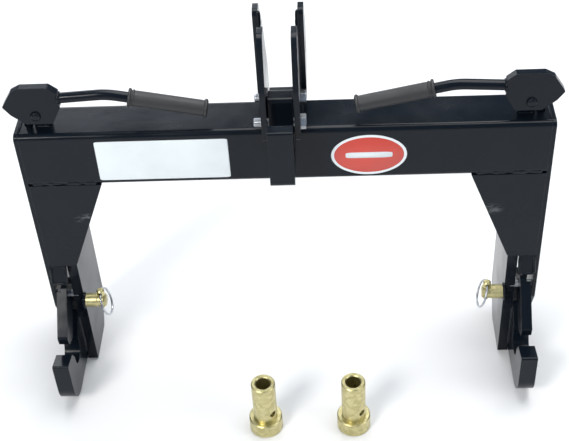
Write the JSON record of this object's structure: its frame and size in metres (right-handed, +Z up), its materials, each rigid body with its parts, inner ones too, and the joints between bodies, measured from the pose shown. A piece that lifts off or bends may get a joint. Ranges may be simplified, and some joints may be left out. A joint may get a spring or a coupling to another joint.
{
  "type": "three point quick hitch",
  "caption": "Three point quick hitch: a square tube beam with legs, hooks for the lower pins and the top pin, sprung latches worked by side levers, and loose pin bushings.",
  "frame": {"origin": "on the ground, midway between the lower hooks, at the bottom centre of the box round the whole row with its loose bushings; the beam front face is 9.75 mm towards +Y from it", "axes": "+X to the right seen from the implement side, +Y towards the tractor, +Z up"},
  "size_m": [0.7688, 0.3055, 0.626],
  "materials": {
    "black_paint": "gloss",
    "yellow_zinc": "satin",
    "bright_zinc": "satin",
    "black_rubber": "matte",
    "label_white": "satin",
    "label_red": "satin",
    "spring_steel": "satin"
  },
  "bodies": {
    "frame": {"beam": "black_paint", "outer_side_plate_left": "black_paint", "outer_side_plate_right": "black_paint", "inner_ear_plate_left": "black_paint", "inner_ear_plate_right": "black_paint", "front_gusset_left": "black_paint", "front_gusset_right": "black_paint", "latch_guard_left": "black_paint", "latch_guard_right": "black_paint", "lower_hook_left": "black_paint", "lower_hook_right": "black_paint", "lower_link_pin_left": "yellow_zinc", "lower_link_pin_right": "yellow_zinc", "latch_pin_left": "bright_zinc", "latch_pin_right": "bright_zinc", "return_spring_left": "spring_steel", "return_spring_right": "spring_steel", "lever_bracket_left": "black_paint", "lever_bracket_right": "black_paint", "pivot_bolt_left": "black_paint", "pivot_bolt_right": "black_paint", "pivot_nut_left": "bright_zinc", "pivot_nut_right": "bright_zinc", "top_hook": "black_paint", "top_ear_left": "black_paint", "top_ear_right": "black_paint", "top_link_plate_left": "black_paint", "top_link_plate_right": "black_paint", "top_hook_bolts": "bright_zinc"},
    "lever_left": {"lever_plate_left": "black_paint", "handle_bar_left": "black_paint", "grip_left": "black_rubber"},
    "link_left": {"release_link_left": "black_paint"},
    "latch_left": {"latch_left": "black_paint"},
    "linch_left": {"linch_pin_left": "yellow_zinc"},
    "ring_left": {"linch_ring_left": "bright_zinc"},
    "bushing_left": {"bushing_left": "yellow_zinc"},
    "lever_right": {"lever_plate_right": "black_paint", "handle_bar_right": "black_paint", "grip_right": "black_rubber"},
    "link_right": {"release_link_right": "black_paint"},
    "latch_right": {"latch_right": "black_paint"},
    "linch_right": {"linch_pin_right": "yellow_zinc"},
    "ring_right": {"linch_ring_right": "bright_zinc"},
    "bushing_right": {"bushing_right": "yellow_zinc"}
  },
  "joints": [
    {"name": "lever_left_hinge", "type": "hinge", "parent": "frame", "child": "lever_left", "pos_m": [-0.341, 0.02775, 0.499], "axis": [0, -1, 0], "range_deg": [0, 50]},
    {"name": "link_left_slide", "type": "slide", "parent": "frame", "child": "link_left", "axis": [0, 0, -1], "range_m": [0, 0.01692], "stiffness_N_per_m": 2500, "springref_m": -0.01, "deforming": ["return_spring_left"]},
    {"name": "latch_left_hinge", "type": "hinge", "parent": "frame", "child": "latch_left", "pos_m": [-0.3584, 0.02375, 0.15], "axis": [-1, 0, 0], "range_deg": [0, 55.05]},
    {"name": "linch_left_lift", "type": "slide", "parent": "frame", "child": "linch_left", "axis": [0, 0, 1], "range_m": [0, 0.07]},
    {"name": "ring_left_hinge", "type": "hinge", "parent": "linch_left", "child": "ring_left", "pos_m": [-0.3029, 0.01975, 0.1541], "axis": [0, -1, 0], "range_deg": [0, 120]},
    {"name": "bushing_left_lift", "type": "slide", "parent": "frame", "child": "bushing_left", "axis": [0, 0, 1], "range_m": [0, 0.15]},
    {"name": "lever_right_hinge", "type": "hinge", "parent": "frame", "child": "lever_right", "pos_m": [0.341, 0.02775, 0.499], "axis": [0, 1, 0], "range_deg": [0, 50]},
    {"name": "link_right_slide", "type": "slide", "parent": "frame", "child": "link_right", "axis": [0, 0, -1], "range_m": [0, 0.01692], "stiffness_N_per_m": 2500, "springref_m": -0.01, "deforming": ["return_spring_right"]},
    {"name": "latch_right_hinge", "type": "hinge", "parent": "frame", "child": "latch_right", "pos_m": [0.3584, 0.02375, 0.15], "axis": [-1, 0, 0], "range_deg": [0, 55.05]},
    {"name": "linch_right_lift", "type": "slide", "parent": "frame", "child": "linch_right", "axis": [0, 0, 1], "range_m": [0, 0.07]},
    {"name": "ring_right_hinge", "type": "hinge", "parent": "linch_right", "child": "ring_right", "pos_m": [0.3029, 0.01975, 0.1541], "axis": [0, 1, 0], "range_deg": [0, 120]},
    {"name": "bushing_right_lift", "type": "slide", "parent": "frame", "child": "bushing_right", "axis": [0, 0, 1], "range_m": [0, 0.15]}
  ],
  "couplings": [
    {"joint": "link_left_slide", "follows": "lever_left_hinge", "m_per_rad": 0.019371},
    {"joint": "latch_left_hinge", "follows": "lever_left_hinge", "ratio": 1.1},
    {"joint": "link_right_slide", "follows": "lever_right_hinge", "m_per_rad": 0.019371},
    {"joint": "latch_right_hinge", "follows": "lever_right_hinge", "ratio": 1.1}
  ]
}
